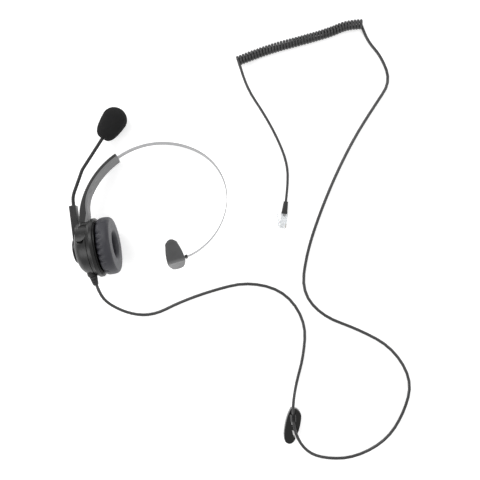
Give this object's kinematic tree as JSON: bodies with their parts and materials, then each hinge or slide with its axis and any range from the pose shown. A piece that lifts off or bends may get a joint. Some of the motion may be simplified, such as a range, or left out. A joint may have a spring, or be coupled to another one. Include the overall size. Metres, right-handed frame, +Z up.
{
  "type": "office headset",
  "caption": "Single-ear telephone headset: padded ear cup, sprung slider band with temple pad, gooseneck microphone, and a lead with clothing clip, curly stretch and modular plug.",
  "frame": {"origin": "middle of the headset's bounding box in plan, at the table it lies on; the lead is left out", "axes": "+Z is up from the table; +X runs across from the ear cup towards the open side of the band; +Y runs from the cup towards the microphone"},
  "size_m": [0.3346, 0.4387, 0.0565],
  "materials": {
    "black_plastic": "fine-textured moulded plastic",
    "satin_black_plastic": "smooth satin moulded plastic",
    "cushion_leatherette": "soft wrinkled leatherette",
    "soft_rubber": "soft matte rubber",
    "grey_rubber": "soft ribbed pad",
    "foam": "open-cell foam",
    "band_steel": "bright rolled spring steel",
    "small_steel": "plated steel",
    "magnet_steel": "nickel-plated magnet",
    "cone_film": "thin film",
    "acoustic_fabric": "woven cloth",
    "gold_contact": "gold-plated",
    "clear_plastic": "clear moulded plastic",
    "cord_jacket": "smooth flexible jacket"
  },
  "bodies": {
    "ear_cup": {"ear_housing": "black_plastic", "trim_ring": "satin_black_plastic", "speaker_baffle": "black_plastic", "baffle_screws": "small_steel", "speaker_frame": "black_plastic", "speaker_magnet": "magnet_steel", "speaker_cone": "cone_film", "acoustic_cloth": "acoustic_fabric", "cushion_ring": "black_plastic", "ear_cushion": "cushion_leatherette", "hub_screw": "small_steel", "strain_relief": "soft_rubber", "lead_cord": "cord_jacket", "curly_cord": "cord_jacket", "tail_cord": "cord_jacket", "plug_boot": "soft_rubber", "plug_body": "clear_plastic", "plug_contacts": "gold_contact", "clip_base": "satin_black_plastic", "clip_pin": "small_steel", "clip_spring": "small_steel", "clip_ring": "satin_black_plastic"},
    "yoke": {"yoke": "satin_black_plastic", "yoke_pins": "small_steel", "swivel_peg": "small_steel"},
    "arm": {"arm_shell": "satin_black_plastic", "arm_cover": "black_plastic", "arm_screws": "small_steel", "detent_spring": "small_steel"},
    "headband": {"head_band": "band_steel", "band_stop": "black_plastic", "band_ferrule": "black_plastic"},
    "temple_pad": {"temple_pad_shell": "black_plastic", "temple_pad_cushion": "grey_rubber"},
    "boom": {"boom_arm": "black_plastic", "boom_cover": "black_plastic", "hub_washer": "small_steel", "hub_cap": "satin_black_plastic", "gooseneck_lower": "soft_rubber"},
    "boom_middle": {"gooseneck_middle": "soft_rubber"},
    "boom_tip": {"gooseneck_upper": "soft_rubber", "mic_capsule": "black_plastic", "mic_element": "small_steel", "mic_grille": "black_plastic", "foam_windscreen": "foam"},
    "plug_tongue": {"plug_latch": "clear_plastic"},
    "clip_jaw": {"clip_lever": "satin_black_plastic"}
  },
  "joints": [
    {"name": "ear_tilt", "type": "hinge", "parent": "ear_cup", "child": "yoke", "pos_m": [-0.05864, -0.0438, 0.02665], "axis": [-0.0324, 0.1915, 0.981], "range_deg": [-4.5, 3.5]},
    {"name": "ear_swivel", "type": "hinge", "parent": "yoke", "child": "arm", "pos_m": [-0.06042, -0.02788, 0.02348], "axis": [-0.1636, 0.9672, -0.1942], "range_deg": [-8, 5]},
    {"name": "band_slide", "type": "hinge", "parent": "arm", "child": "headband", "pos_m": [0.01598, -0.02394, 0.01941], "axis": [-0.0416, -0.2035, -0.9782], "range_deg": [-2, 21.5]},
    {"name": "temple_pad_turn", "type": "hinge", "parent": "headband", "child": "temple_pad", "pos_m": [0.02635, -0.06158, 0.0268], "axis": [-0.9564, -0.2752, 0.098], "range_deg": [-30, 25]},
    {"name": "boom_turn", "type": "hinge", "parent": "ear_cup", "child": "boom", "pos_m": [-0.0453, -0.0495, 0.0282], "axis": [0.986, 0.1668, 0], "range_deg": [-165, 165]},
    {"name": "boom_flex_lower", "type": "hinge", "parent": "boom", "child": "boom_middle", "pos_m": [-0.06874, 0.01483, 0.01939], "axis": [0.0216, -0.1278, -0.9916], "range_deg": [-30, 10]},
    {"name": "boom_flex_upper", "type": "hinge", "parent": "boom_middle", "child": "boom_tip", "pos_m": [-0.05914, 0.03572, 0.01691], "axis": [0.0216, -0.1278, -0.9916], "range_deg": [-30, 10]},
    {"name": "latch_press", "type": "hinge", "parent": "ear_cup", "child": "plug_tongue", "pos_m": [0.12638, -0.02922, 0.00383], "axis": [0, 0, -1], "range_deg": [0, 11], "stiffness_Nm_per_rad": 0.02},
    {"name": "clip_open", "type": "hinge", "parent": "ear_cup", "child": "clip_jaw", "pos_m": [0.14171, -0.22945, 0], "axis": [0, 0, -1], "range_deg": [0, 15], "stiffness_Nm_per_rad": 0.03}
  ],
  "couplings": [
    {"joint": "boom_flex_upper", "follows": "boom_flex_lower", "ratio": 1}
  ]
}
